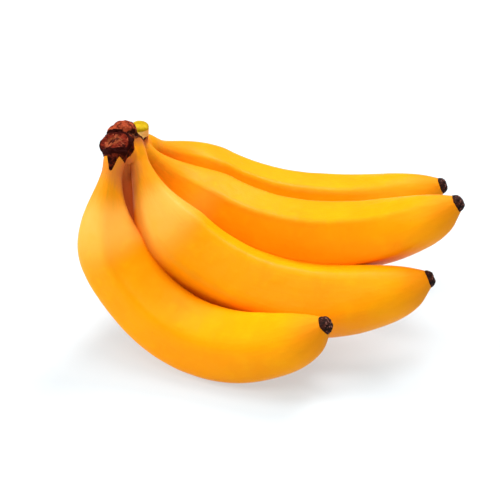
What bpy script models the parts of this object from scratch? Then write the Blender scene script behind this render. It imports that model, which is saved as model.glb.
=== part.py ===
"""A bunch of five bananas, lying on the bellies of two of them with the crown raised.

Run with: blender --background --python part.py
Metres, +Z up. +X runs from the crown to the flower ends, and +Y from the front finger
to the back one. Each finger follows a path that leaves the crown at its root, turns at
the shoulder and curves on to the flower end. The section goes from a round neck to a
five-sided belly and back to a round end.
"""

import math
from collections import namedtuple

import bmesh
import bpy
from mathutils import Matrix, Vector

# Driving dimensions, in metres and degrees.

CLEARANCE = 0.0003  # between pieces that touch

Finger = namedtuple("Finger", "root length girth heading rise lean shoulder body splay facet")
# root      where the path starts, inside the crown
# length    along the path, from the root to the flower end
# girth     width across the belly, between the flats
# heading   way the belly points, about +Z from +X
# rise      climb of the belly's middle
# lean      lean of the bend plane about the belly
# shoulder  turn of the path between the neck and the belly
# body      turn of the path along the belly
# splay     sideways turn of the neck, gone by the end of the neck
# facet     turn of the five flats about the path, from the inside of the bend
FINGERS = {
    "banana_1": Finger((-0.0660, -0.0185, 0.1100), 0.1900, 0.0345, -24.5, -10.5, -6, 39, 99, -5, 39),
    "banana_2": Finger((-0.0605, -0.0035, 0.1090), 0.1930, 0.0355, -6.5, -9, -15.5, 27, 66, -7.5, 73),
    "banana_3": Finger((-0.0590, 0.0045, 0.1020), 0.1900, 0.0330, -13.5, 5, -6.5, 25, 58, 33, -11),
    "banana_4": Finger((-0.0545, 0.0160, 0.0985), 0.1875, 0.0330, -1, -3, 12, 21, 56, 39, 10),
    "banana_5": Finger((-0.0670, -0.0105, 0.1020), 0.1910, 0.0310, 18, -17, 26, 34, 53, -4, 0),
}
RESTING = ("banana_1", "banana_5")  # fingers that lie on the surface, and the second is set level
FLAT_DEPTH = 0.0005  # how far a resting belly is pressed flat

NECK_RADIUS = 0.0050
TIP_RADIUS = 0.0046
FLATS = 5
FLAT_SHARPNESS = 8.0  # 2 is round, 20 is a sharp-cornered polygon

# Places along the path, as shares of its length.
NECK_END = 0.05
SHOULDER_END = 0.30
WIDEST = 0.64
TAPER_START = 0.60
TAPER_POWER = 4.2
TIP_SWELL = 0.0013  # how far the outside of the bend swells out before the flower end
TIP_SWELL_SPAN = (0.85, 0.97, 1.00)  # where that swelling starts, is fullest and has gone
SHOULDER_SHARE = 0.95  # radius at the shoulder, over the radius at the widest place
SHOULDER_TURN = (0.04, 0.42)
BODY_TURN = (0.25, 1.00)
SPLAY_TURN = (0.02, 0.34)

FLOWER_END_LENGTH = 0.0032
FLOWER_END_SPREAD = 0.85  # far radius of a flower end over its near radius

CROWN_RIND = 0.0016  # crown around each neck
CUT_CENTRE = Vector((-0.0663, -0.0145, 0.1122))
CUT_NORMAL = Vector((-0.35, -0.50, 0.79))
CUT_WIDTH = 0.0200
CUT_HEIGHT = 0.0160
CUT_DEPTH = 0.0120
BROWN_STUB_CENTRE = Vector((-0.0636, -0.0030, 0.1135))
BROWN_STUB_SIZE = Vector((0.0130, 0.0100, 0.0110))
GREEN_STUB_TOP = Vector((-0.0560, 0.0035, 0.1145))
GREEN_STUB_WAY = Vector((0.10, -0.25, 0.96))
GREEN_STUB_RADIUS = 0.0044
GREEN_STUB_LENGTH = 0.0140

# Fineness of the meshes.
RINGS = 24
SIDES = 30
STUMP_SIDES = 20
STUB_RINGS = 8
SHARP_ANGLE = 40  # degrees between faces, above which an edge is shaded sharp

# Colour and roughness of each material.
PEEL = (0.93, 0.50, 0.03, 1.0), 0.45
CROWN_BARK = (0.30, 0.09, 0.04, 1.0), 0.80
FLOWER_END = (0.05, 0.02, 0.015, 1.0), 0.90


def material(name, look):
    colour, roughness = look
    made = bpy.data.materials.new(name)
    made.use_nodes = True
    shader = made.node_tree.nodes["Principled BSDF"]
    shader.inputs["Base Color"].default_value = colour
    shader.inputs["Roughness"].default_value = roughness
    shader.inputs["Metallic"].default_value = 0.0
    made.diffuse_color = colour
    return made


def ease(share):
    """0 to 1, level at both ends."""
    share = min(max(share, 0.0), 1.0)
    return share * share * (3 - 2 * share)


def swell(along, start, end):
    """Share of a turn done at this place, when the turn swells and fades between start and end."""
    share = min(max((along - start) / (end - start), 0.0), 1.0)
    return share - math.sin(2 * math.pi * share) / (2 * math.pi)


def steady(along, start, end):
    """Share of a turn done at this place, when the turn is nearly even between start and end."""
    share = min(max((along - start) / (end - start), 0.0), 1.0)
    return (share + ease(share)) / 2


def radius_at(finger, along):
    """Half the width of the finger at this share of its length."""
    belly = finger.girth / 2
    belly *= SHOULDER_SHARE + (1 - SHOULDER_SHARE) * ease(
        (along - SHOULDER_END) / (WIDEST - SHOULDER_END)
    )
    grown = ease((along - NECK_END) / (SHOULDER_END - NECK_END))
    radius = NECK_RADIUS + (belly - NECK_RADIUS) * grown
    taper = max((along - TAPER_START) / (1 - TAPER_START), 0.0) ** TAPER_POWER
    return radius - (radius - TIP_RADIUS) * taper


def section_at(angle, facet, amount):
    """Distance from the path to a rounded five-sided section, where 1 is the distance to a flat."""
    total = 0.0
    for index in range(FLATS):
        way = angle - facet - 2 * math.pi * index / FLATS
        total += max(math.cos(way), 0.0) ** FLAT_SHARPNESS
    polygon = total ** (-1 / FLAT_SHARPNESS)
    return 1 + (polygon - 1) * amount


def swell_at(angle, along):
    """How far the section swells out near the flower end, most of it outside the bend."""
    start, full, end = TIP_SWELL_SPAN
    risen = ease((along - start) / (full - start)) - ease((along - full) / (end - full))
    return TIP_SWELL * risen * (1 - math.cos(angle)) / 2


def frames_of(finger, count):
    """Points along the path, each with its forward, sideways and inward directions."""
    turned = (
        Matrix.Rotation(math.radians(finger.heading), 3, "Z")
        @ Matrix.Rotation(math.radians(-finger.rise), 3, "Y")
        @ Matrix.Rotation(math.radians(finger.lean), 3, "X")
    )
    shoulder, body, splay = map(math.radians, (finger.shoulder, finger.body, finger.splay))

    def directions(along):
        climb = shoulder * (swell(along, *SHOULDER_TURN) - 1)
        climb += body * (steady(along, *BODY_TURN) - 0.5)
        aside = splay * (1 - swell(along, *SPLAY_TURN))
        forward = Vector(
            (math.cos(climb) * math.cos(aside), math.sin(aside), math.sin(climb) * math.cos(aside))
        )
        inward = Vector((-math.sin(climb), 0, math.cos(climb)))
        return turned @ forward, turned @ inward.cross(forward), turned @ inward

    step = 1 / (count - 1)
    point = Vector(finger.root)
    frames = []
    for index in range(count):
        frames.append((index * step, point.copy(), *directions(index * step)))
        forward = directions((index + 0.5) * step)[0]
        point += forward * finger.length * step
    return frames


def new_object(name, bm, collection):
    mesh = bpy.data.meshes.new(name)
    bmesh.ops.recalc_face_normals(bm, faces=bm.faces)
    bm.to_mesh(mesh)
    bm.free()
    made = bpy.data.objects.new(name, mesh)
    collection.objects.link(made)
    return made


def finger_mesh(finger, margin):
    """The finger as a loft of rings along its path, all of it thicker by the margin."""
    bm = bmesh.new()
    rings = []
    for along, point, _, sideways, inward in frames_of(finger, RINGS):
        radius = radius_at(finger, along)
        five_sided = ease((along - NECK_END) / (SHOULDER_END - NECK_END)) * (
            1 - ease((along - TAPER_START) / (1 - TAPER_START))
        )
        ring = []
        for side in range(SIDES):
            angle = 2 * math.pi * side / SIDES
            out = radius * section_at(angle, math.radians(finger.facet), five_sided)
            out += swell_at(angle, along) + margin
            ring.append(
                bm.verts.new(
                    point + out * (math.cos(angle) * inward + math.sin(angle) * sideways)
                )
            )
        rings.append(ring)
    for near, far in zip(rings, rings[1:]):
        for side in range(SIDES):
            after = (side + 1) % SIDES
            bm.faces.new((near[side], near[after], far[after], far[side]))
    bm.faces.new(rings[0])
    bm.faces.new(rings[-1])
    return bm


def flower_end_mesh(finger, gap, margin):
    """The dry end of a finger: a short cone that starts a gap away from the finger."""
    _, point, forward, sideways, inward = frames_of(finger, RINGS)[-1]
    length = FLOWER_END_LENGTH + 2 * margin
    centre = point + forward * (gap - margin + length / 2)
    bm = bmesh.new()
    bmesh.ops.create_cone(
        bm,
        cap_ends=True,
        segments=2 * FLATS,
        radius1=TIP_RADIUS + margin,
        radius2=TIP_RADIUS * FLOWER_END_SPREAD + margin,
        depth=length,
        matrix=Matrix.Translation(centre)
        @ Matrix((sideways, inward, forward)).transposed().to_4x4(),
    )
    return bm


def lain_down(fingers):
    """The fingers, with the second resting one moved up or down until its belly is level."""
    first, second = RESTING
    lowest = {}
    for name in RESTING:
        bm = finger_mesh(fingers[name], 0.0)
        lowest[name] = min(vert.co.z for vert in bm.verts)
        bm.free()
    x, y, z = fingers[second].root
    root = (x, y, z + lowest[first] - lowest[second])
    return {**fingers, second: fingers[second]._replace(root=root)}


def across_and_up(normal):
    """Level and upright directions of a face with this normal."""
    across = Vector((0, 0, 1)).cross(normal).normalized()
    return across, normal.cross(across)


def cushion_mesh(fingers, margin):
    """The rounded body of the crown: the hull of a ball around each neck's root."""
    points = []
    for finger in fingers.values():
        ball = bmesh.new()
        bmesh.ops.create_icosphere(
            ball,
            subdivisions=2,
            radius=NECK_RADIUS + CROWN_RIND + margin,
            matrix=Matrix.Translation(finger.root),
        )
        points += [vert.co.copy() for vert in ball.verts]
        ball.free()
    bm = bmesh.new()
    for point in points:
        bm.verts.new(point)
    hull = bmesh.ops.convex_hull(bm, input=bm.verts)
    bmesh.ops.delete(bm, geom=hull["geom_interior"], context="VERTS")
    return bm


def stump_mesh(margin):
    """The stalk that the bunch was cut from, with its flat face at CUT_CENTRE."""
    normal = CUT_NORMAL.normalized()
    across, up = across_and_up(normal)
    scale = Matrix.Diagonal((CUT_WIDTH / 2 + margin, CUT_HEIGHT / 2 + margin, 1, 1))
    centre = CUT_CENTRE - normal * CUT_DEPTH / 2
    bm = bmesh.new()
    bmesh.ops.create_cone(
        bm,
        cap_ends=True,
        segments=STUMP_SIDES,
        radius1=1.0,
        radius2=1.0,
        depth=CUT_DEPTH + 2 * margin,
        matrix=Matrix.Translation(centre)
        @ Matrix((across, up, normal)).transposed().to_4x4()
        @ scale,
    )
    return bm


def brown_stub_mesh(margin):
    """The dry stub beside the stump."""
    half = BROWN_STUB_SIZE / 2 + Vector((margin, margin, margin))
    bm = bmesh.new()
    bmesh.ops.create_uvsphere(
        bm,
        u_segments=2 * STUB_RINGS,
        v_segments=STUB_RINGS,
        radius=1.0,
        matrix=Matrix.Translation(BROWN_STUB_CENTRE) @ Matrix.Diagonal((*half, 1)),
    )
    return bm


def green_stub_mesh(margin):
    """The freshly cut stub of a sixth finger."""
    way = GREEN_STUB_WAY.normalized()
    across, up = across_and_up(way)
    centre = GREEN_STUB_TOP - way * GREEN_STUB_LENGTH / 2
    bm = bmesh.new()
    bmesh.ops.create_cone(
        bm,
        cap_ends=True,
        segments=2 * STUB_RINGS,
        radius1=GREEN_STUB_RADIUS + margin,
        radius2=GREEN_STUB_RADIUS + margin,
        depth=GREEN_STUB_LENGTH + 2 * margin,
        matrix=Matrix.Translation(centre) @ Matrix((across, up, way)).transposed().to_4x4(),
    )
    return bm


def boolean(target, other, operation):
    modifier = target.modifiers.new(other.name, "BOOLEAN")
    modifier.operation = operation
    modifier.solver = "EXACT"
    modifier.object = other


def as_cutter(made):
    made.hide_render = True
    made.display_type = "WIRE"
    return made


def crown_object(name, fingers, margin, collection, cutters):
    """The cushion with its stump and stubs joined on."""
    crown = new_object(name, cushion_mesh(fingers, margin), collection)
    for label, mesh in (
        ("stump", stump_mesh(margin)),
        ("brown_stub", brown_stub_mesh(margin)),
        ("green_stub", green_stub_mesh(margin)),
    ):
        boolean(crown, as_cutter(new_object(f"{name}_{label}", mesh, cutters)), "UNION")
    return crown


def surface_object(level, cutters):
    """A block whose top is the surface that presses the resting bellies flat."""
    block = 2 * sum(finger.length for finger in FINGERS.values())
    bm = bmesh.new()
    bmesh.ops.create_cube(
        bm, size=block, matrix=Matrix.Translation((0, 0, level - block / 2))
    )
    return as_cutter(new_object("surface", bm, cutters))


def bounds_of(objects):
    """Corners of the box around the objects as they are evaluated."""
    bpy.context.view_layer.update()
    graph = bpy.context.evaluated_depsgraph_get()
    points = []
    for obj in objects:
        evaluated = obj.evaluated_get(graph)
        points += [evaluated.matrix_world @ vert.co for vert in evaluated.data.vertices]
    low = Vector(min(point[axis] for point in points) for axis in range(3))
    high = Vector(max(point[axis] for point in points) for axis in range(3))
    return low, high


def main():
    for obj in list(bpy.data.objects):
        bpy.data.objects.remove(obj, do_unlink=True)
    parts = bpy.data.collections.new("bunch_of_bananas")
    cutters = bpy.data.collections.new("cutters")
    for collection in (parts, cutters):
        bpy.context.scene.collection.children.link(collection)

    peel = material("peel", PEEL)
    bark = material("crown_bark", CROWN_BARK)
    husk = material("flower_end", FLOWER_END)

    fingers = lain_down(FINGERS)
    crown = crown_object("crown", fingers, 0.0, parts, cutters)
    crown.data.materials.append(bark)
    rooms = [as_cutter(crown_object("crown_room", fingers, CLEARANCE, cutters, cutters))]

    for number, (name, finger) in enumerate(fingers.items(), start=1):
        banana = new_object(name, finger_mesh(finger, 0.0), parts)
        banana.data.materials.append(peel)
        flower_end = new_object(
            f"flower_end_{number}", flower_end_mesh(finger, CLEARANCE, 0.0), parts
        )
        flower_end.data.materials.append(husk)
        for room in rooms:
            boolean(banana, room, "DIFFERENCE")
            if room is not rooms[0]:
                boolean(flower_end, room, "DIFFERENCE")
        room = new_object(f"{name}_room", finger_mesh(finger, CLEARANCE), cutters)
        end_room = new_object(
            f"flower_end_{number}_room", flower_end_mesh(finger, CLEARANCE, CLEARANCE), cutters
        )
        rooms += [as_cutter(room), as_cutter(end_room)]

    level = bounds_of([parts.objects[name] for name in RESTING])[0].z + FLAT_DEPTH
    surface = surface_object(level, cutters)
    for name in RESTING:
        boolean(parts.objects[name], surface, "DIFFERENCE")

    low, high = bounds_of(parts.objects)
    bunch = bpy.data.objects.new("bunch", None)
    parts.objects.link(bunch)
    bunch.location = (-(low.x + high.x) / 2, -(low.y + high.y) / 2, -level)
    for obj in [*parts.objects, *cutters.objects]:
        if obj is not bunch:
            obj.parent = bunch
    for obj in parts.objects:
        if obj.type == "MESH":
            obj.data.shade_smooth()
            obj.data.set_sharp_from_angle(angle=math.radians(SHARP_ANGLE))


main()
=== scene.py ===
"""A bunch of five ripe bananas, lying on the bellies of two of them with the crown raised.

Metres, +Z up, and +X from the crown to the flower ends. Each finger is a path that a
five-sided section follows from the neck to the flower end. The necks run into one
crown, which carries the cut stump, a dry stub and the stub of a sixth finger.
"""

import math
from collections import namedtuple
from functools import partial

import bmesh
import bpy
import numpy as np
from mathutils import Matrix, Vector, noise


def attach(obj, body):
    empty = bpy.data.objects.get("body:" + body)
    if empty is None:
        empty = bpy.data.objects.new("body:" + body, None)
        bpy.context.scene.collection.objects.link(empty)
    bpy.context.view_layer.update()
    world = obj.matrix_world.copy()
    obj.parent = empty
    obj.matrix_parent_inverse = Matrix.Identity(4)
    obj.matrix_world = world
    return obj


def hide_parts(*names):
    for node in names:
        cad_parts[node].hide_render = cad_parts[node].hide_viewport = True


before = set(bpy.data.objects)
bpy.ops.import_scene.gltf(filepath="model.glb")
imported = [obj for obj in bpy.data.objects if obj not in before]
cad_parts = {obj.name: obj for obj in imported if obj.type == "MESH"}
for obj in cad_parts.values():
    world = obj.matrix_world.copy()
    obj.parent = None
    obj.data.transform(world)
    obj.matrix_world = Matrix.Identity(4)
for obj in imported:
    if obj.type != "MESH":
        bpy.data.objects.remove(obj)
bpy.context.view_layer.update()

# The bunch, in metres and degrees. The fingers' shapes are the part's own.

Finger = namedtuple("Finger", "root length girth heading rise lean shoulder body splay facet crisp")
# root      where the path starts, inside the crown
# length    along the path, from the root to the flower end
# girth     width across the belly, between the flats
# heading   way the belly points, about +Z from +X
# rise      climb of the belly's middle
# lean      lean of the bend plane about the belly
# shoulder  turn of the path between the neck and the belly
# body      turn of the path along the belly
# splay     sideways turn of the neck, gone by the end of the neck
# facet     turn of the five flats about the path, from the inside of the bend
# crisp     how crisp the ridges between the flats are: 4 is nearly round, 20 is sharp
FINGERS = {
    1: Finger((-0.0660, -0.0185, 0.1100), 0.1900, 0.0345, -24.5, -10.5, -6, 39, 99, -5, 39, 7),
    2: Finger((-0.0605, -0.0035, 0.1090), 0.1930, 0.0355, -6.5, -9, -15.5, 27, 66, -7.5, 73, 9),
    3: Finger((-0.0590, 0.0045, 0.1020), 0.1900, 0.0330, -13.5, 5, -6.5, 25, 58, 33, -11, 22),
    4: Finger((-0.0545, 0.0160, 0.0985), 0.1875, 0.0330, -1, -3, 12, 21, 56, 39, 10, 14),
    5: Finger((-0.0670, -0.0105, 0.1020), 0.1910, 0.0310, 18, -17, 26, 34, 53, -4, 0, 10),
}
NECK_RADIUS = 0.0050
TIP_RADIUS = 0.0046
FLATS = 5

# Places along a finger, as shares of its length from the root.
NECK_END = 0.05
SHOULDER_END = 0.30
WIDEST = 0.64
TAPER_START = 0.60
TIP_SWELL_SPAN = (0.82, 0.955, 1.00)
SHOULDER_TURN = (0.04, 0.42)
BODY_TURN = (0.25, 1.00)
SPLAY_TURN = (0.02, 0.34)
PEEL_START = 0.025  # inside the crown
COLLAR_END = 0.105  # where the crown's skin on the neck has run out
CROWN_PEEL = 0.07  # the peel over the crown is coloured as a finger's is here

SHOULDER_SHARE = 0.95  # of the full girth, at the end of the shoulder
TAPER_POWER = 4.2
TIP_SWELL = 0.0015
TIP_GAP = 0.0003
FLOWER_END_LENGTH = 0.0032
SOLID_PATH_POINTS = 24  # points of the path that each finger's solid follows

# The crown. Its cut is a little lower and smaller than the plainer solid's.
CUT_CENTRE = Vector((-0.0674, -0.0145, 0.1112))
CUT_NORMAL = Vector((-0.35, -0.50, 0.79)).normalized()
CUT_WIDTH = 0.0186
CUT_HEIGHT = 0.0140
CUT_DEPTH = 0.0120
STUMP_RINGS = (  # share of the depth below the cut, of the half width and of the half height
    (1.00, 0.80, 0.80),
    (0.50, 0.90, 0.92),
    (0.15, 1.00, 1.00),
    (0.00, 0.97, 0.97),
)
BROWN_STUB_CENTRE = Vector((-0.0636, -0.0030, 0.1135))
BROWN_STUB_SIZE = Vector((0.0130, 0.0100, 0.0110))
BROWN_STUB_LUMPS = (  # offset from the centre, and share of the stub's size
    ((0.0, 0.0, 0.0), 1.0),
    ((0.0016, -0.0010, 0.0010), 0.72),
    ((-0.0045, -0.0010, -0.0010), 0.70),
)
GREEN_STUB_TOP = Vector((-0.0560, 0.0035, 0.1145))
GREEN_STUB_WAY = Vector((0.10, -0.25, 0.96)).normalized()
GREEN_STUB_RADIUS = 0.0044
GREEN_STUB_LENGTH = 0.0140
GREEN_STUB_RINGS = (  # depth below the top, and share of the radius
    (GREEN_STUB_LENGTH, 1.10),
    (GREEN_STUB_LENGTH * 0.6, 1.00),
    (0.0010, 1.00),
    (0.0, 0.92),
)
TORN_STRIP = (Vector((-0.0672, -0.0215, 0.1075)), Vector((-0.0687, -0.0240, 0.1015)))
TORN_STRIP_RINGS = (  # share of the way down, half width and half height
    (0.00, 0.0034, 0.0022),
    (0.35, 0.0026, 0.0018),
    (0.75, 0.0013, 0.0011),
    (1.00, 0.0007, 0.0007),
)
SCAR_LINE = (Vector((-0.0600, -0.0055, 0.1120)), Vector((-0.0540, 0.0000, 0.1090)))
# Line between the necks of fingers 1 and 5. The peel near it is painted brown and darker: partly
# brown neck tissue, partly painted shade in the crease between the necks.
NECK_BROWN_AND_SHADE_LINE = (Vector((-0.0652, -0.0170, 0.1000)), Vector((-0.0645, -0.0110, 0.0700)))
LOW_NECKS = (3, 4, 5)  # fingers whose necks end in a rounded knob under the crown
CUSHION_SHARE = 0.96  # of a neck's radius, so that the necks stand out of the cushion
COLLAR_SKIN = (0.0011, -0.0006)  # how far the skin stands off a neck at its two ends
CROWN_VOXEL = 0.00042
CROWN_SMOOTHINGS = 16

# Where the crown's marks fade out: (heights over the cut), (shares of the size of what is
# marked) or (depths below the top of the green stub).
CUT_HEIGHTS, CUT_REACH = (-0.0016, -0.0006), (0.93, 1.05)
RIM_HEIGHTS, RIM_START, RIM_REACH = (-0.0024, -0.0010), (0.84, 0.95), (1.15, 1.30)
BARK_HEIGHTS, BARK_REACH = (-0.0075, -0.0035), (1.15, 1.45)
STUB_REACH = (1.15, 1.60)
GREEN_REACH, GREEN_DEPTHS, GREEN_TOP_DEPTHS = (1.20, 1.50), (0.0050, 0.0060), (0.0008, 0.0022)
SCAR_WIDTHS, SCAR_REACH = (0.0036, 0.0028), (0.80, 1.30)
STRIP_WIDTHS, STRIP_REACH = (0.0034, 0.0010), (0.90, 1.35)

# Roughness of the crown: swells per metre, and height in metres.
DIMPLES = (120, 0.00018)
CRAGS = ((330, 0.00055), (900, 0.00028))
RIM_LIP = 0.0006
CUT_HOLLOW, CUT_HOLLOW_SPAN = 0.0007, (0.55, 0.95)

# How finely and how unevenly the peel and the flower ends are made.
PATH_POINTS = 200
RINGS = 180
SIDES = 100
COLLAR_RINGS = 26
COLLAR_SIDES = 36
UNEVENNESS = 0.0006
SWELLS = (38.0, 1.6)  # per metre, and share of the unevenness
DENTS = (140.0, 0.22)
PRESS_SOFTNESS = 0.0008  # rounding of the belly's edge where it rests
PATTERN_RADIUS = 0.0165  # of the roll on which the peel's patterns are laid
RIDGE_GAIN = 6.0  # how soon a corner of the section counts as a ridge
BALL_DETAIL = 3
FLOWER_END = {
    "Rings": 22,
    "Sides": 72,
    "Overlap": 0.0012,
    "Radius": TIP_RADIUS,
    "Reach": FLOWER_END_LENGTH,
    "Ribs": 5.0,
    "Rib Depth": 0.06,
    "Raggedness": 0.0009,
    "Hollow": 0.06,
    "Closing": 0.50,
}

# Colours, as shares of red, green and blue light.
RIPE = (0.97, 0.345, 0.0012)
DEEP = (0.96, 0.305, 0.0010)
PALE = (0.98, 0.400, 0.0020)
NECK_TONE = (0.76, 0.250, 0.0080)
NECK_GREEN = (0.55, 0.265, 0.0060)
BROWNED = (0.52, 0.135, 0.0060)
SPOT = (0.22, 0.050, 0.0060)
# painted highlight: a pale tone that stands in for a lamp's soft reflection on the shoulders
SHOULDER_HIGHLIGHT = (0.98, 0.47, 0.085)
# brown of the necks' crease, darkened as painted shade
NECK_BROWN_AND_SHADE = (0.62, 0.170, 0.045)
STAIN = (0.42, 0.110, 0.030)
HUSK_DARK = (0.008, 0.002, 0.0015)
HUSK_FIBRE = (0.075, 0.017, 0.010)
HUSK_PITH = (0.34, 0.15, 0.12)
HUSK_ROOT = (0.22, 0.050, 0.008)
BARK_DARK = (0.018, 0.0015, 0.0008)
BARK_LIGHT = (0.130, 0.014, 0.005)
STUB_DARK = (0.085, 0.009, 0.004)
STUB_LIGHT = (0.38, 0.058, 0.020)
STUB_DUST = (0.55, 0.13, 0.050)
CUT_DARK = (0.034, 0.002, 0.001)
CUT_LIGHT = (0.17, 0.016, 0.006)
CUT_RING = (0.33, 0.075, 0.024)
CUT_FLESH = (0.46, 0.095, 0.040)
CUT_PITS = (0.022, 0.002, 0.001)
CUT_HEART = (0.020, 0.002, 0.001)
CUT_RIM = (0.022, 0.0015, 0.0008)
STALK_SIDES = ((0.82, 0.46, 0.10), (0.86, 0.60, 0.22))
STALK_TOPS = ((0.42, 0.26, 0.0015), (0.56, 0.37, 0.008))
SCAR_DARK = (0.022, 0.004, 0.002)
SCAR_LIGHT = (0.190, 0.045, 0.014)
PEEL_GLOSS = 0.05
HUSK_GLOSS = 0.10
BARK_GLOSS = 0.03

# The studio.
CAMERA_ELEVATION = 25.6
CAMERA_DISTANCE = 0.63
LENS = 85
LOOKED_AT = Vector((0.0, 0.0, 0.045))
SKY_LIGHT = 0.22
SKY_SEEN = 1.05
LAMP_DISTANCE = 1.40
LAMP_SIZE = 0.70
LAMPS = {  # way round from +X and height, in degrees, and watts
    "left": (180, 20, 15.0),
    "back": (55, 55, 17.0),
    "front": (270, 50, 7.0),
    "overhead": (0, 90, 10.0),
}
FLOOR_HALF = 4.0
FLOOR_TONES = ((0.35, 0.36, 0.37), (0.37, 0.38, 0.39))
FLOOR_GLOW = (0.44, 0.50, 0.52)
FAR_GLOW = (1.0, 1.0, 1.0)
FLOOR_FADE = (0.30, 1.20)  # distances from the bunch between which the floor goes white
UP = Vector((0, 0, 1))


# Numbers along a finger.


def held(share):
    return min(max(share, 0.0), 1.0)


def ease(share):
    """0 to 1, level at both ends. It takes a number or a wire."""
    share = share.held() if isinstance(share, Wire) else held(share)
    return share * share * (3 - 2 * share)


def path_frames(finger, count):
    """Points along the finger's path, each with its forward, sideways and inward directions."""
    turned = (
        Matrix.Rotation(math.radians(finger.heading), 3, "Z")
        @ Matrix.Rotation(math.radians(-finger.rise), 3, "Y")
        @ Matrix.Rotation(math.radians(finger.lean), 3, "X")
    )
    shoulder, body, splay = map(math.radians, (finger.shoulder, finger.body, finger.splay))

    def swell(along, start, end):
        share = held((along - start) / (end - start))
        return share - math.sin(2 * math.pi * share) / (2 * math.pi)

    def directions(along):
        share = held((along - BODY_TURN[0]) / (BODY_TURN[1] - BODY_TURN[0]))
        climb = shoulder * (swell(along, *SHOULDER_TURN) - 1)
        climb += body * ((share + ease(share)) / 2 - 0.5)
        aside = splay * (1 - swell(along, *SPLAY_TURN))
        forward = Vector(
            (math.cos(climb) * math.cos(aside), math.sin(aside), math.sin(climb) * math.cos(aside))
        )
        inward = Vector((-math.sin(climb), 0, math.cos(climb)))
        return turned @ forward, turned @ inward.cross(forward), turned @ inward

    step = 1 / (count - 1)
    point = Vector(finger.root)
    frames = []
    for index in range(count):
        frames.append((point.copy(), *directions(index * step)))
        point += directions((index + 0.5) * step)[0] * finger.length * step
    return frames


# Wires and nodes.


class Wire:
    """An output of a node. Arithmetic on it adds Math or Vector Math nodes to its tree."""

    def __init__(self, socket):
        self.socket = socket

    @classmethod
    def make(cls, tree, kind, settings=None, inputs=None):
        """A new node's first output, with the node's settings made before its inputs."""
        node = tree.nodes.new(kind)
        for name, value in (settings or {}).items():
            setattr(node, name, value)
        for name, value in (inputs or {}).items():
            if isinstance(name, int):
                socket = node.inputs[name]
            else:
                socket = next(s for s in node.inputs if s.name == name and s.enabled)
            if isinstance(value, Wire):
                tree.links.new(value.socket, socket)
            else:
                socket.default_value = value
        return cls(next(s for s in node.outputs if s.enabled)) if len(node.outputs) else node

    def __getitem__(self, name):
        """Another output of the same node."""
        return Wire(next(s for s in self.socket.node.outputs if s.name == name and s.enabled))

    def maths(self, operation, *others):
        """This value worked on, with any others after it."""
        return Wire.worked(self.socket.id_data, operation, [self, *others])

    def after(self, operation, first):
        """The same with the other value first."""
        return Wire.worked(self.socket.id_data, operation, [first, self])

    @classmethod
    def worked(cls, tree, operation, values):
        """The result of a Math node, or of a Vector Math node where a vector comes in."""
        kind = "ShaderNodeMath"
        if any(
            value.socket.type == "VECTOR" if isinstance(value, Wire) else hasattr(value, "__len__")
            for value in values
        ):
            kind = "ShaderNodeVectorMath"
            values = [
                value if isinstance(value, Wire) or hasattr(value, "__len__") else (value,) * 3
                for value in values
            ]
        return cls.make(tree, kind, {"operation": operation}, dict(enumerate(values)))

    def __add__(self, other):
        return self.maths("ADD", other)

    def __radd__(self, other):
        return self.after("ADD", other)

    def __sub__(self, other):
        return self.maths("SUBTRACT", other)

    def __rsub__(self, other):
        return self.after("SUBTRACT", other)

    def __mul__(self, other):
        return self.maths("MULTIPLY", other)

    def __rmul__(self, other):
        return self.after("MULTIPLY", other)

    def __truediv__(self, other):
        return self.maths("DIVIDE", other)

    def __rtruediv__(self, other):
        return self.after("DIVIDE", other)

    def __pow__(self, other):
        return self.maths("POWER", other)

    def held(self, low=0.0, high=1.0):
        return Wire.make(
            self.socket.id_data, "ShaderNodeClamp", {}, {"Value": self, "Min": low, "Max": high}
        )


def between(value, low, high):
    """0 where the value is under low, 1 over high, and eased between them."""
    return ease((value - low) / (high - low))


def joined(make, x, y, z):
    """A vector from its three numbers."""
    return make("ShaderNodeCombineXYZ", {}, {"X": x, "Y": y, "Z": z})


def parted(make, vector):
    """A vector's three numbers, as outputs X, Y and Z."""
    return make("ShaderNodeSeparateXYZ", {}, {"Vector": vector})


def scaled(make, vector, factor):
    """A vector made longer or shorter by a factor."""
    return make("ShaderNodeVectorMath", {"operation": "SCALE"}, {0: vector, "Scale": factor})


def speckle(make, where, scale, detail=2.0, roughness=0.5):
    """Soft cloudy noise, with this many swells per metre."""
    return make(
        "ShaderNodeTexNoise",
        {},
        {"Vector": where, "Scale": scale, "Detail": detail, "Roughness": roughness},
    )


# The trees that the fingers and the flower ends grow from.


def new_tree(name, sizes):
    """A geometry tree that takes a path and these sizes, its inputs, and a maker of its nodes."""
    tree = bpy.data.node_groups.new(name, "GeometryNodeTree")
    tree.is_modifier = True
    tree.interface.new_socket("Path", in_out="INPUT", socket_type="NodeSocketGeometry")
    for label, kind in sizes.items():
        tree.interface.new_socket(label, in_out="INPUT", socket_type=f"NodeSocket{kind}")
    tree.interface.new_socket("Geometry", in_out="OUTPUT", socket_type="NodeSocketGeometry")
    inputs = Wire.make(tree, "NodeGroupInput")
    return tree, inputs, partial(Wire.make, tree)


def end_tree(make, geometry, marks, place, material):
    """Ends a tree: stores the marks on the points, moves each to its place, sets the material."""
    for label, value in marks.items():
        kind = "FLOAT_VECTOR" if value.socket.type == "VECTOR" else "FLOAT"
        geometry = make(
            "GeometryNodeStoreNamedAttribute",
            {"data_type": kind, "domain": "POINT"},
            {"Geometry": geometry, "Name": label, "Value": value},
        )
    geometry = make("GeometryNodeSetPosition", {}, {"Geometry": geometry, "Position": place})
    geometry = make("GeometryNodeFlipFaces", {}, {"Mesh": geometry})
    geometry = make("GeometryNodeSetShadeSmooth", {}, {"Geometry": geometry})
    geometry = make("GeometryNodeRealizeInstances", {}, {"Geometry": geometry})
    geometry = make("GeometryNodeSetMaterial", {}, {"Geometry": geometry, "Material": material})
    make("NodeGroupOutput", {}, {"Geometry": geometry})


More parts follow.
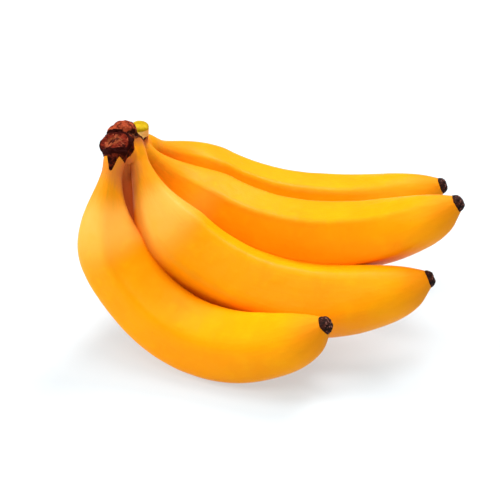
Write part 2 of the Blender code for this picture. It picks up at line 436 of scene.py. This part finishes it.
def tube_along_path(make, inputs):
    """A closed tube of unit sections, and fields for its place along and around the path."""
    tube = make(
        "GeometryNodeMeshCylinder",
        {"fill_type": "TRIANGLE_FAN"},
        {
            "Vertices": inputs["Sides"],
            "Side Segments": inputs["Rings"],
            "Fill Segments": 1,
            "Radius": 1.0,
            "Depth": 1.0,
        },
    )
    place = parted(make, make("GeometryNodeInputPosition"))
    angle = place["Y"].maths("ARCTAN2", place["X"])
    spread = (place["X"] * place["X"] + place["Y"] * place["Y"]).maths("SQRT")
    share = place["Z"] + 0.5
    line = make("GeometryNodeMeshToCurve", {}, {"Mesh": inputs["Path"]})

    def on_path(at):
        """Point on the path, and the inward and sideways directions there."""
        found = []
        for label in ("inward", "sideways"):
            way = make(
                "GeometryNodeInputNamedAttribute", {"data_type": "FLOAT_VECTOR"}, {"Name": label}
            )
            found.append(
                make(
                    "GeometryNodeSampleCurve",
                    {"data_type": "FLOAT_VECTOR", "mode": "FACTOR", "use_all_curves": True},
                    {"Curves": line, "Value": way, "Factor": at},
                )
            )
        return found[0]["Position"], found[0], found[1]

    return tube, angle, spread, share, on_path


def around(angle, inward, sideways):
    """The direction at this angle about the path, from the inside of the bend."""
    return inward * angle.maths("COSINE") + sideways * angle.maths("SINE")


def finger_tree():
    """A finger: a section that goes from a round neck to a five-sided belly and a round end."""
    sizes = {
        "Rings": "Int",
        "Sides": "Int",
        "Start": "Float",
        "End": "Float",
        "Skin At Start": "Float",
        "Skin At End": "Float",
        "Length": "Float",
        "Girth": "Float",
        "Neck Radius": "Float",
        "Tip Radius": "Float",
        "Facet Turn": "Float",
        "Ridge Crispness": "Float",
        "Unevenness": "Float",
        "Surface Level": "Float",
        "Seed": "Float",
        "Peel": "Material",
    }
    tree, inputs, make = new_tree("finger", sizes)
    tube, angle, spread, share, on_path = tube_along_path(make, inputs)
    along = inputs["Start"] + (inputs["End"] - inputs["Start"]) * share
    point, inward, sideways = on_path(along)

    grown = between(along, NECK_END, SHOULDER_END)
    filled = between(along, SHOULDER_END, WIDEST)
    belly = inputs["Girth"] * 0.5 * (SHOULDER_SHARE + (1 - SHOULDER_SHARE) * filled)
    radius = inputs["Neck Radius"] + (belly - inputs["Neck Radius"]) * grown
    taper = ((along - TAPER_START) / (1 - TAPER_START)).maths("MAXIMUM", 0.0) ** TAPER_POWER
    radius = radius - (radius - inputs["Tip Radius"]) * taper

    flats = None
    for index in range(FLATS):
        way = angle - inputs["Facet Turn"] - 2 * math.pi * index / FLATS
        flat = way.maths("COSINE").maths("MAXIMUM", 0.0) ** inputs["Ridge Crispness"]
        flats = flat if flats is None else flats + flat
    polygon = flats ** (-1 / inputs["Ridge Crispness"])
    five_sided = grown * (1 - between(along, TAPER_START, 1.0))
    ridge = ((polygon - 1) * RIDGE_GAIN).held() * five_sided

    skin = joined(
        make,
        angle.maths("COSINE") * PATTERN_RADIUS,
        angle.maths("SINE") * PATTERN_RADIUS,
        along * inputs["Length"],
    )
    seeded = joined(make, inputs["Seed"], inputs["Seed"] * 0.37, 0.0)
    swells = speckle(make, skin + seeded, SWELLS[0], 2.0, 0.45)
    dents = speckle(make, skin + seeded * 2.0, DENTS[0])
    uneven = (swells - 0.5) * SWELLS[1] + (dents - 0.5) * DENTS[1]
    extra = inputs["Skin At Start"] + (inputs["Skin At End"] - inputs["Skin At Start"]) * share
    out = radius * (1 + (polygon - 1) * five_sided) + extra
    out = out + uneven * inputs["Unevenness"] * grown * (1 - taper * 0.8)
    start, full, end = TIP_SWELL_SPAN
    outside = (1 - angle.maths("COSINE")) * 0.5
    out = out + TIP_SWELL * outside * (between(along, start, full) - between(along, full, end))
    place = point + scaled(make, around(angle, inward, sideways), out * spread)

    parts = parted(make, place)
    pressed = parts["Z"].maths("SMOOTH_MAX", inputs["Surface Level"], PRESS_SOFTNESS)
    place = joined(make, parts["X"], parts["Y"], pressed)
    marks = {"along": along, "skin": skin, "ridge": ridge}
    end_tree(make, tube["Mesh"], marks, place, inputs["Peel"])
    return tree


def grown_mesh(name, tree, path, settings):
    """The plain mesh that a tree grows from this path with these settings."""
    holder = bpy.data.objects.new(f"{name}_holder", path)
    bpy.context.scene.collection.objects.link(holder)
    modifier = holder.modifiers.new("grow", "NODES")
    modifier.node_group = tree
    for item in tree.interface.items_tree:
        if item.in_out == "INPUT" and item.name in settings:
            modifier[item.identifier] = settings[item.name]
    graph = bpy.context.evaluated_depsgraph_get()
    mesh = bpy.data.meshes.new_from_object(
        holder.evaluated_get(graph), preserve_all_data_layers=True, depsgraph=graph
    )
    mesh.name = name
    bpy.data.objects.remove(holder)
    return mesh


def path_mesh(name, frames):
    """The path as a line of points that carry their inward and sideways directions."""
    mesh = bpy.data.meshes.new(name)
    points = [point for point, _, _, _ in frames]
    mesh.from_pydata(points, [(i, i + 1) for i in range(len(points) - 1)], [])
    for label, column in (("sideways", 2), ("inward", 3)):
        layer = mesh.attributes.new(label, "FLOAT_VECTOR", "POINT")
        layer.data.foreach_set("vector", np.array([row[column] for row in frames]).ravel())
    return mesh


def shown(name, mesh):
    """A new object with this mesh, in the scene."""
    obj = bpy.data.objects.new(name, mesh)
    bpy.context.scene.collection.objects.link(obj)
    return obj


def flower_end_tree():
    """The dry end of a finger: a short ribbed tube, torn and hollow at its far face."""
    sizes = {
        "Rings": "Int",
        "Sides": "Int",
        "Overlap": "Float",
        "Radius": "Float",
        "Reach": "Float",
        "Ribs": "Float",
        "Rib Depth": "Float",
        "Raggedness": "Float",
        "Hollow": "Float",
        "Closing": "Float",
        "Seed": "Float",
        "Husk": "Material",
    }
    tree, inputs, make = new_tree("flower_end", sizes)
    tube, angle, spread, share, on_path = tube_along_path(make, inputs)
    point, inward, sideways = on_path(1.0)
    forward = sideways.maths("CROSS_PRODUCT", inward)
    turn = joined(
        make,
        angle.maths("COSINE") * spread + inputs["Seed"],
        angle.maths("SINE") * spread,
        share * 1.4,
    )
    crumpled = speckle(make, turn, 2.2, 4.0, 0.6)
    shreds = speckle(make, turn * (3.0, 3.0, 0.5), 2.6, 3.0)
    rib = (angle * inputs["Ribs"] + crumpled * 9.0 + inputs["Seed"]).maths("COSINE")
    closing = 1 - inputs["Closing"] * share ** 3.0
    out = inputs["Radius"] * closing * (1 + rib * inputs["Rib Depth"] * (0.35 + share * 0.65))
    out = out * (1 + (crumpled - 0.5) * 0.45 * share)
    far = between(share, 0.45, 1.0)
    rim = spread ** 3.0
    reach = inputs["Reach"] * share * (1 - far * (1 - rim) * inputs["Hollow"])
    reach = reach + (shreds - 0.45) * inputs["Raggedness"] * far * (0.4 + rim)
    reach = reach - inputs["Overlap"] * (1 - share)
    place = point + scaled(make, forward, reach)
    place = place + scaled(make, around(angle, inward, sideways), out * spread)
    grain = joined(
        make, angle.maths("COSINE") * out, angle.maths("SINE") * out, share * inputs["Reach"]
    )
    marks = {"share": share * spread + (1 - spread) * 1.2, "grain": grain}
    end_tree(make, tube["Mesh"], marks, place, inputs["Husk"])
    return tree


# The crown.


def across_and_up(normal):
    """Level and upright directions of a face with this normal."""
    across = UP.cross(normal).normalized()
    return across, normal.cross(across)


def add_rings(bm, rings):
    """A closed loft through rings of points."""
    made = [[bm.verts.new(point) for point in ring] for ring in rings]
    count = len(made[0])
    for near, far in zip(made, made[1:]):
        for side in range(count):
            after = (side + 1) % count
            bm.faces.new((near[side], near[after], far[after], far[side]))
    bm.faces.new(made[0][::-1])
    bm.faces.new(made[-1])


def add_stalk(bm, way, stations, sides, ragged, seed):
    """A closed oval stalk along the way, through stations of (centre, half width, half height)."""
    across, up = across_and_up(way)
    angles = [2 * math.pi * side / sides for side in range(sides)]
    rings = []
    for centre, wide, high in stations:
        ring = []
        for angle in angles:
            turn = Vector((math.cos(angle), math.sin(angle), seed))
            out = 1 + ragged * noise.noise(turn * 1.7)
            aside = across * math.cos(angle) * wide + up * math.sin(angle) * high
            ring.append(centre + aside * out)
        rings.append(ring)
    add_rings(bm, rings)


def crown_mesh(shift, roots, collars):
    """Cushion, stump, stubs and collars round the necks, melted into one skin."""
    bm = bmesh.new()
    balls = bmesh.new()
    for number, root in roots.items():
        place = Matrix.Translation(root)
        radius = NECK_RADIUS * CUSHION_SHARE
        bmesh.ops.create_icosphere(balls, subdivisions=BALL_DETAIL, radius=radius, matrix=place)
        if number in LOW_NECKS:
            radius = NECK_RADIUS + COLLAR_SKIN[0]
            bmesh.ops.create_icosphere(bm, subdivisions=BALL_DETAIL, radius=radius, matrix=place)
    hull = bmesh.ops.convex_hull(balls, input=balls.verts)
    bmesh.ops.delete(balls, geom=hull["geom_interior"], context="VERTS")
    body = bpy.data.meshes.new("cushion")
    balls.to_mesh(body)
    balls.free()
    bm.from_mesh(body)
    for collar in collars:
        bm.from_mesh(collar)

    cut = CUT_CENTRE + shift
    stations = [
        (cut - CUT_NORMAL * CUT_DEPTH * depth, wide * CUT_WIDTH / 2, high * CUT_HEIGHT / 2)
        for depth, wide, high in STUMP_RINGS
    ]
    add_stalk(bm, CUT_NORMAL, stations, sides=48, ragged=0.13, seed=2.0)

    for offset, size in BROWN_STUB_LUMPS:
        place = Matrix.Translation(BROWN_STUB_CENTRE + shift + Vector(offset))
        place = place @ Matrix.Diagonal((*(BROWN_STUB_SIZE * size / 2), 1))
        bmesh.ops.create_icosphere(bm, subdivisions=BALL_DETAIL, radius=1.0, matrix=place)

    top = GREEN_STUB_TOP + shift
    stations = [
        (top - GREEN_STUB_WAY * depth, share * GREEN_STUB_RADIUS, share * GREEN_STUB_RADIUS)
        for depth, share in GREEN_STUB_RINGS
    ]
    add_stalk(bm, GREEN_STUB_WAY, stations, sides=36, ragged=0.10, seed=5.0)

    first, last = (point + shift for point in TORN_STRIP)
    stations = [(first.lerp(last, share), wide, high) for share, wide, high in TORN_STRIP_RINGS]
    add_stalk(bm, (last - first).normalized(), stations, sides=24, ragged=0.25, seed=8.0)

    mesh = bpy.data.meshes.new("crown_skin")
    bm.to_mesh(mesh)
    bm.free()
    holder = shown("crown_holder", mesh)
    melt = holder.modifiers.new("melt", "REMESH")
    melt.mode = "VOXEL"
    melt.voxel_size = CROWN_VOXEL
    soften = holder.modifiers.new("soften", "SMOOTH")
    soften.factor = 0.5
    soften.iterations = CROWN_SMOOTHINGS
    graph = bpy.context.evaluated_depsgraph_get()
    melted = bpy.data.meshes.new_from_object(holder.evaluated_get(graph), depsgraph=graph)
    melted.name = "crown_skin"
    bpy.data.objects.remove(holder)
    return melted


def eased(values, low, high):
    """The same as between, on an array of numbers."""
    share = np.clip((values - low) / (high - low), 0, 1)
    return share * share * (3 - 2 * share)


def weather_crown(mesh, shift):
    """Roughens the crown's dry places, and marks which are cut, bark, stub, green or scarred."""
    count = len(mesh.vertices)
    points = np.empty(count * 3)
    normals = np.empty(count * 3)
    mesh.vertices.foreach_get("co", points)
    mesh.vertices.foreach_get("normal", normals)
    points, normals = points.reshape(-1, 3), normals.reshape(-1, 3)

    across, up = (np.array(way) for way in across_and_up(CUT_NORMAL))
    local = points - np.array(CUT_CENTRE + shift)
    height = local @ np.array(CUT_NORMAL)
    out = np.hypot(local @ across / (CUT_WIDTH / 2), local @ up / (CUT_HEIGHT / 2))
    cut = eased(height, *CUT_HEIGHTS) * (1 - eased(out, *CUT_REACH))
    rim = eased(height, *RIM_HEIGHTS) * eased(out, *RIM_START) * (1 - eased(out, *RIM_REACH))
    bark = eased(height, *BARK_HEIGHTS) * (1 - eased(out, *BARK_REACH))

    local = (points - np.array(BROWN_STUB_CENTRE + shift)) / np.array(BROWN_STUB_SIZE / 2)
    stub = 1 - eased(np.linalg.norm(local, axis=1), *STUB_REACH)

    axis = np.array(GREEN_STUB_WAY)
    local = points - np.array(GREEN_STUB_TOP + shift)
    depth = -(local @ axis)
    aside = np.linalg.norm(local + np.outer(depth, axis), axis=1) / GREEN_STUB_RADIUS
    green = (1 - eased(aside, *GREEN_REACH)) * (1 - eased(depth, *GREEN_DEPTHS))
    green_top = (1 - eased(depth, *GREEN_TOP_DEPTHS)) * green
    stub *= 1 - green

    def along_line(line, widths, reach):
        """1 on the line, fading out as shares of its width, which changes along it."""
        first, last = (np.array(point + shift) for point in line)
        way = last - first
        share = np.clip(((points - first) @ way) / (way @ way), 0, 1)
        gap = np.linalg.norm(points - first - np.outer(share, way), axis=1)
        return 1 - eased(gap / (widths[0] + (widths[1] - widths[0]) * share), *reach)

    scar = along_line(SCAR_LINE, SCAR_WIDTHS, SCAR_REACH) * (1 - green) * (1 - cut)
    bark = np.maximum(bark, along_line(TORN_STRIP, STRIP_WIDTHS, STRIP_REACH))

    rough = np.maximum.reduce([bark, stub, scar, cut])
    lift = np.empty(count)
    for index, point in enumerate(points):
        spot = Vector(point)
        crags = sum(noise.noise(spot * scale) * high for scale, high in CRAGS)
        lift[index] = noise.noise(spot * DIMPLES[0]) * DIMPLES[1] + crags * rough[index]
    lift += rim * RIM_LIP - cut * (1 - eased(out, *CUT_HOLLOW_SPAN)) * CUT_HOLLOW
    moved = points + normals * lift[:, None]
    mesh.vertices.foreach_set("co", moved.ravel())
    marks = {
        "cut": cut,
        "cut_spread": out,
        "rim": rim,
        "bark": bark,
        "stub": stub,
        "green": green,
        "green_top": green_top,
        "scar": scar,
    }
    for label, values in marks.items():
        mesh.attributes.new(label, "FLOAT", "POINT").data.foreach_set("value", values)
    mesh.shade_smooth()
    mesh.update()


# Finishes.


def new_finish(name):
    """A material, its maker, its surface shader and a reader of marks."""
    finish = bpy.data.materials.new(name)
    finish.use_nodes = True
    tree = finish.node_tree
    shader = tree.nodes["Principled BSDF"]
    make = partial(Wire.make, tree)

    def mark(label, output="Fac"):
        return make(
            "ShaderNodeAttribute", {"attribute_type": "GEOMETRY", "attribute_name": label}
        )[output]

    return finish, make, shader, mark


def feed(shader, **wires):
    """Links or sets a shader's sockets."""
    for label, wire in wires.items():
        socket = shader.inputs[label.replace("_", " ").title()]
        if isinstance(wire, Wire):
            shader.id_data.links.new(wire.socket, socket)
        else:
            socket.default_value = wire


def blend(make, share, first, second):
    """A colour between two."""
    colours = [c if isinstance(c, Wire) else (*c, 1.0) for c in (first, second)]
    return make(
        "ShaderNodeMix",
        {"data_type": "RGBA", "clamp_factor": True},
        {"Factor": share, "A": colours[0], "B": colours[1]},
    )


def bumped(make, *layers):
    """A normal from (height, distance) layers, coarse first."""
    normal = None
    for height, distance in layers:
        inputs = {"Strength": 1.0, "Distance": distance, "Height": height}
        if normal is not None:
            inputs["Normal"] = normal
        normal = make("ShaderNodeBump", {}, inputs)
    return normal


def gap_to(make, place, line):
    """How far a place is from the line."""
    first, last = line
    way = last - first
    from_first = place - tuple(first)
    share = (from_first.maths("DOT_PRODUCT", tuple(way)) / way.length_squared).held()
    return (from_first - scaled(make, tuple(way), share)).maths("LENGTH")


def peel_colour(make, along, skin, place, shift, seed):
    """Colour of the ripe peel, the patterns it is made of, a painted highlight on the front
    fingers' shoulders and painted shade with some browning between the necks. Along may be one
    number.
    """
    where = skin + (seed, seed * 0.7, 0.0)
    clouds = speckle(make, where, 30.0, 3.0)
    patches = speckle(make, where, 150.0, 3.0)
    strands = speckle(make, where * (1.0, 1.0, 0.06), 700.0, 3.0, 0.6)
    colour = blend(make, between(clouds, 0.35, 0.68), RIPE, DEEP)
    colour = blend(make, between(patches, 0.45, 0.80) * 0.40, colour, PALE)
    colour = blend(make, between(strands, 0.52, 0.75) * 0.30, colour, DEEP)
    neck = 1 - between(along + (clouds - 0.5) * 0.06, 0.05, 0.24)
    colour = blend(make, neck * 0.75, colour, NECK_TONE)
    tinge = between(speckle(make, where * (1.0, 1.0, 0.25), 190.0), 0.45, 0.65)
    colour = blend(make, neck * tinge * 0.40, colour, NECK_GREEN)
    unshifted = place - tuple(shift)
    depth = parted(make, unshifted)["Y"]
    # Painted highlight: the shoulders of the front fingers are made pale where a lamp's reflection
    # falls.
    shoulder_highlight = between(along, 0.11, 0.18) * (1 - between(along, 0.20, 0.34))
    shoulder_highlight = shoulder_highlight * (1 - between(depth, -0.010, 0.004))
    colour = blend(make, shoulder_highlight * between(clouds, 0.30, 0.60) * 0.65, colour, SHOULDER_HIGHLIGHT)
    tip = between(along + (patches - 0.5) * 0.05, 0.88, 0.995)
    colour = blend(make, tip * 0.36, colour, BROWNED)
    # Partly browning and partly painted shade: the peel near the line between the necks of fingers
    # 1 and 5 is made brown and darker, in a wide faint band and a narrow strong one.
    gap = gap_to(make, unshifted, NECK_BROWN_AND_SHADE_LINE)
    gap = gap + (clouds - 0.5) * 0.004 + (strands - 0.5) * 0.003
    colour = blend(make, (1 - between(gap, 0.0080, 0.0118)) * 0.50, colour, NECK_BROWN_AND_SHADE)
    colour = blend(make, (1 - between(gap, 0.0056, 0.0082)) * 0.75, colour, NECK_BROWN_AND_SHADE)
    gap = gap_to(make, unshifted, SCAR_LINE) + (patches - 0.5) * 0.004
    colour = blend(make, (1 - between(gap, 0.0040, 0.0080)) * 0.85, colour, STAIN)
    return colour, where, patches, strands, neck, tip


def peel_finish(shift):
    """The ripe peel: waxy and faintly pored, with worn ridges and a few freckles."""
    finish, make, shader, mark = new_finish("ripe_peel")
    along, ridge = mark("along"), mark("ridge")
    skin = mark("skin", "Vector")
    place = make("ShaderNodeTexCoord")["Object"]
    found = peel_colour(make, along, skin, place, shift, seed=3.0)
    colour, where, patches, strands, neck, tip = found
    worn = between(ridge * (0.45 + patches), 0.55, 0.95)
    colour = blend(make, worn * 0.16, colour, BROWNED)
    cells = make("ShaderNodeTexVoronoi", {"feature": "F1"}, {"Vector": where, "Scale": 170.0})
    pick = make("ShaderNodeSeparateColor", {}, {"Color": cells["Color"]})
    freckle = (1 - between(cells["Distance"], 0.05, 0.14)) * between(pick["Red"], 0.93, 0.98)
    colour = blend(make, freckle * 0.28, colour, SPOT)
    pores = speckle(make, where, 2600.0, 2.0, 0.6)
    matt = 0.36 + (patches - 0.5) * 0.16 + neck * 0.14 + tip * 0.20 + (pores - 0.5) * 0.06
    normal = bumped(
        make, (patches, 0.0004), (strands, 0.00012), (pores, 0.00006), (freckle, -0.0001)
    )
    feed(shader, base_color=colour, roughness=matt.held(), normal=normal)
    shader.inputs["Specular IOR Level"].default_value = PEEL_GLOSS
    return finish


def husk_finish():
    """The dry flower end: near black, with grey-brown fibres on its torn face."""
    finish, make, shader, mark = new_finish("flower_end_husk")
    grain, share = mark("grain", "Vector"), mark("share")
    fibres = speckle(make, grain * (1.0, 1.0, 0.3), 900.0, 4.0, 0.65)
    blots = speckle(make, grain, 900.0, 2.0)
    colour = blend(make, between(fibres, 0.42, 0.72), HUSK_DARK, HUSK_FIBRE)
    pith = between(blots, 0.55, 0.66) * between(share, 0.30, 0.80)
    colour = blend(make, pith * 0.85, colour, HUSK_PITH)
    root = 1 - between(share + (blots - 0.5) * 0.3, 0.04, 0.16)
    colour = blend(make, root * 0.7, colour, HUSK_ROOT)
    normal = bumped(make, (blots, 0.0005), (fibres, 0.0003))
    feed(shader, base_color=colour, roughness=0.55 + fibres * 0.35, normal=normal)
    shader.inputs["Specular IOR Level"].default_value = HUSK_GLOSS
    return finish


def crown_finish(shift):
    """The crown: peel round the necks, dry bark at the stump, and the cut faces."""
    finish, make, shader, mark = new_finish("crown_rind")
    place = make("ShaderNodeTexCoord")["Object"]
    colour = peel_colour(make, CROWN_PEEL, place, place, shift, seed=1.0)[0]
    lumps = speckle(make, place, 260.0, 4.0, 0.6)
    grit = speckle(make, place, 1300.0, 3.0, 0.6)
    swirl = speckle(make, place + (0.3, 0.1, 0.0), 420.0, 3.0, 0.6)

    bark = between(mark("bark") + (lumps - 0.5) * 0.9, 0.30, 0.55)
    dark = blend(make, between(swirl, 0.42, 0.64), BARK_DARK, BARK_LIGHT)
    colour = blend(make, bark, colour, dark)

    stub = between(mark("stub") + (lumps - 0.5) * 0.7, 0.30, 0.50)
    russet = blend(make, between(swirl, 0.38, 0.60), STUB_DARK, STUB_LIGHT)
    russet = blend(make, between(grit, 0.54, 0.68) * 0.6, russet, STUB_DUST)
    colour = blend(make, stub, colour, russet)

    rings = speckle(make, place + (0.11, 0.07, 0.0), 300.0, 3.0, 0.6)
    spread = mark("cut_spread") + (rings - 0.5) * 0.9
    flesh = blend(make, between(rings, 0.42, 0.58), CUT_DARK, CUT_LIGHT)
    ring = between(spread, 0.30, 0.46) * (1 - between(spread, 0.52, 0.70))
    flesh = blend(make, ring * 0.60, flesh, CUT_RING)
    flesh = blend(make, between(swirl, 0.54, 0.64) * 0.70, flesh, CUT_FLESH)
    flesh = blend(make, between(grit, 0.56, 0.66) * 0.80, flesh, CUT_PITS)
    pit = 1 - between(spread, 0.08, 0.30)
    flesh = blend(make, pit * 0.9, flesh, CUT_HEART)
    cut = between(mark("cut") + (grit - 0.5) * 0.5, 0.40, 0.65)
    colour = blend(make, cut, colour, flesh)
    rim = between(mark("rim") + (lumps - 0.5) * 0.9 + (rings - 0.5) * 1.1, 0.35, 0.60)
    colour = blend(make, rim, colour, CUT_RIM)

    green = between(mark("green"), 0.35, 0.60)
    side = blend(make, between(swirl, 0.40, 0.62), *STALK_SIDES)
    top = blend(make, between(swirl, 0.40, 0.65), *STALK_TOPS)
    stalk = blend(make, between(mark("green_top"), 0.3, 0.6), side, top)
    colour = blend(make, green, colour, stalk)
    scar = between(mark("scar") + (grit - 0.5) * 0.7, 0.35, 0.60)
    burnt = blend(make, between(swirl, 0.44, 0.62), SCAR_DARK, SCAR_LIGHT)
    colour = blend(make, scar, colour, burnt)

    dry = (bark + stub + cut + scar).held()
    normal = bumped(make, (lumps * dry, 0.0012), (swirl * dry, 0.0006), (grit, 0.00018))
    matt = 0.48 + dry * 0.22 + (grit - 0.5) * 0.2
    feed(shader, base_color=colour, roughness=matt, normal=normal)
    shader.inputs["Specular IOR Level"].default_value = BARK_GLOSS
    return finish


def floor_finish():
    """A pale floor that glows to white far from the bunch."""
    finish, make, shader, _ = new_finish("studio_floor")
    place = make("ShaderNodeTexCoord")["Object"]
    colour = blend(make, speckle(make, place, 3.0), *FLOOR_TONES)
    far = between(place.maths("LENGTH"), *FLOOR_FADE)
    glow = blend(make, far, FLOOR_GLOW, FAR_GLOW)
    feed(shader, base_color=colour, roughness=0.9, emission_color=glow)
    shader.inputs["Specular IOR Level"].default_value = 0.0
    shader.inputs["Emission Strength"].default_value = 1.0
    return finish


# The studio.


def area_light(name, aim, turn, height, power):
    """A round soft lamp, turned to the point that is looked at."""
    lamp = bpy.data.lights.new(name, "AREA")
    lamp.shape = "DISK"
    lamp.size = LAMP_SIZE
    lamp.energy = power
    light = bpy.data.objects.new(name, lamp)
    bpy.context.scene.collection.objects.link(light)
    turn, height = math.radians(turn), math.radians(height)
    level = math.cos(height)
    way = Vector((math.cos(turn) * level, math.sin(turn) * level, math.sin(height)))
    light.location = aim + way * LAMP_DISTANCE
    light.rotation_mode = "QUATERNION"
    light.rotation_quaternion = (-way).to_track_quat("-Z", "Y")


def studio(aim):
    """The floor, the sky, the lamps and the camera, round the point that is looked at."""
    mesh = bpy.data.meshes.new("floor")
    corners = [(x * FLOOR_HALF, y * FLOOR_HALF, 0) for x, y in ((-1, -1), (1, -1), (1, 1), (-1, 1))]
    mesh.from_pydata(corners, [], [(0, 1, 2, 3)])
    mesh.materials.append(floor_finish())
    shown("floor", mesh)

    world = bpy.data.worlds.new("studio")
    bpy.context.scene.world = world
    world.use_nodes = True
    background = world.node_tree.nodes["Background"]
    background.inputs["Color"].default_value = (1.0, 1.0, 1.0, 1.0)
    seen = Wire.make(world.node_tree, "ShaderNodeLightPath")["Is Camera Ray"]
    strength = SKY_LIGHT + seen * (SKY_SEEN - SKY_LIGHT)
    world.node_tree.links.new(strength.socket, background.inputs["Strength"])

    for name, settings in LAMPS.items():
        area_light(name, aim, *settings)
    bpy.context.scene.view_settings.view_transform = "Standard"

    lens = bpy.data.cameras.new("camera")
    lens.lens = LENS
    camera = bpy.data.objects.new("camera", lens)
    bpy.context.scene.collection.objects.link(camera)
    tilt = math.radians(CAMERA_ELEVATION)
    back = Vector((0, -math.cos(tilt), math.sin(tilt)))
    camera.location = aim + back * CAMERA_DISTANCE
    camera.rotation_mode = "QUATERNION"
    camera.rotation_quaternion = (-back).to_track_quat("-Z", "Y")
    bpy.context.scene.camera = camera


def place_of(number, finger):
    """Shift from the finger's own coordinates to the frame, by where its flower end lies there."""
    point, forward, _, _ = path_frames(finger, SOLID_PATH_POINTS)[-1]
    centre = point + forward * (TIP_GAP + FLOWER_END_LENGTH / 2)
    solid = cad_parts[f"flower_end_{number}"].data
    corners = {tuple(round(x, 5) for x in vert.co) for vert in solid.vertices}
    return sum((Vector(corner) for corner in corners), Vector()) / len(corners) - centre


def main():
    """Makes the studio, the five fingers with their flower ends, and the crown."""
    shifts = {number: place_of(number, finger) for number, finger in FINGERS.items()}
    shift = shifts[1]
    studio(LOOKED_AT + shift)

    peel, husk, rind = peel_finish(shift), husk_finish(), crown_finish(shift)
    fingers, ends = finger_tree(), flower_end_tree()
    roots, collars = {}, []
    for number, finger in FINGERS.items():
        placed = finger._replace(root=Vector(finger.root) + shifts[number])
        roots[number] = placed.root
        path = path_mesh(f"path_{number}", path_frames(placed, PATH_POINTS))
        settings = {
            "Rings": RINGS,
            "Sides": SIDES,
            "Start": PEEL_START,
            "End": 1.0,
            "Skin At Start": 0.0,
            "Skin At End": 0.0,
            "Length": finger.length,
            "Girth": finger.girth,
            "Neck Radius": NECK_RADIUS,
            "Tip Radius": TIP_RADIUS,
            "Facet Turn": math.radians(finger.facet),
            "Ridge Crispness": float(finger.crisp),
            "Unevenness": UNEVENNESS,
            "Surface Level": 0.0,
            "Seed": number * 1.7,
            "Peel": peel,
        }
        name = f"banana_{number}_peel"
        piece = shown(name, grown_mesh(name, fingers, path, settings))
        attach(piece, "root")
        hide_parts(f"banana_{number}")

        settings |= {
            "Rings": COLLAR_RINGS,
            "Sides": COLLAR_SIDES,
            "Start": 0.0,
            "End": COLLAR_END,
            "Skin At Start": COLLAR_SKIN[0],
            "Skin At End": COLLAR_SKIN[1],
            "Unevenness": 0.0,
        }
        collars.append(grown_mesh(f"collar_{number}", fingers, path, settings))

        settings = {**FLOWER_END, "Seed": number * 2.3, "Husk": husk}
        name = f"flower_end_{number}_husk"
        piece = shown(name, grown_mesh(name, ends, path, settings))
        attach(piece, "root")
        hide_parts(f"flower_end_{number}")

    mesh = crown_mesh(shift, roots, collars)
    weather_crown(mesh, shift)
    mesh.materials.clear()
    mesh.materials.append(rind)
    crown = shown("crown_rind", mesh)
    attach(crown, "root")
    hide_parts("crown")


main()
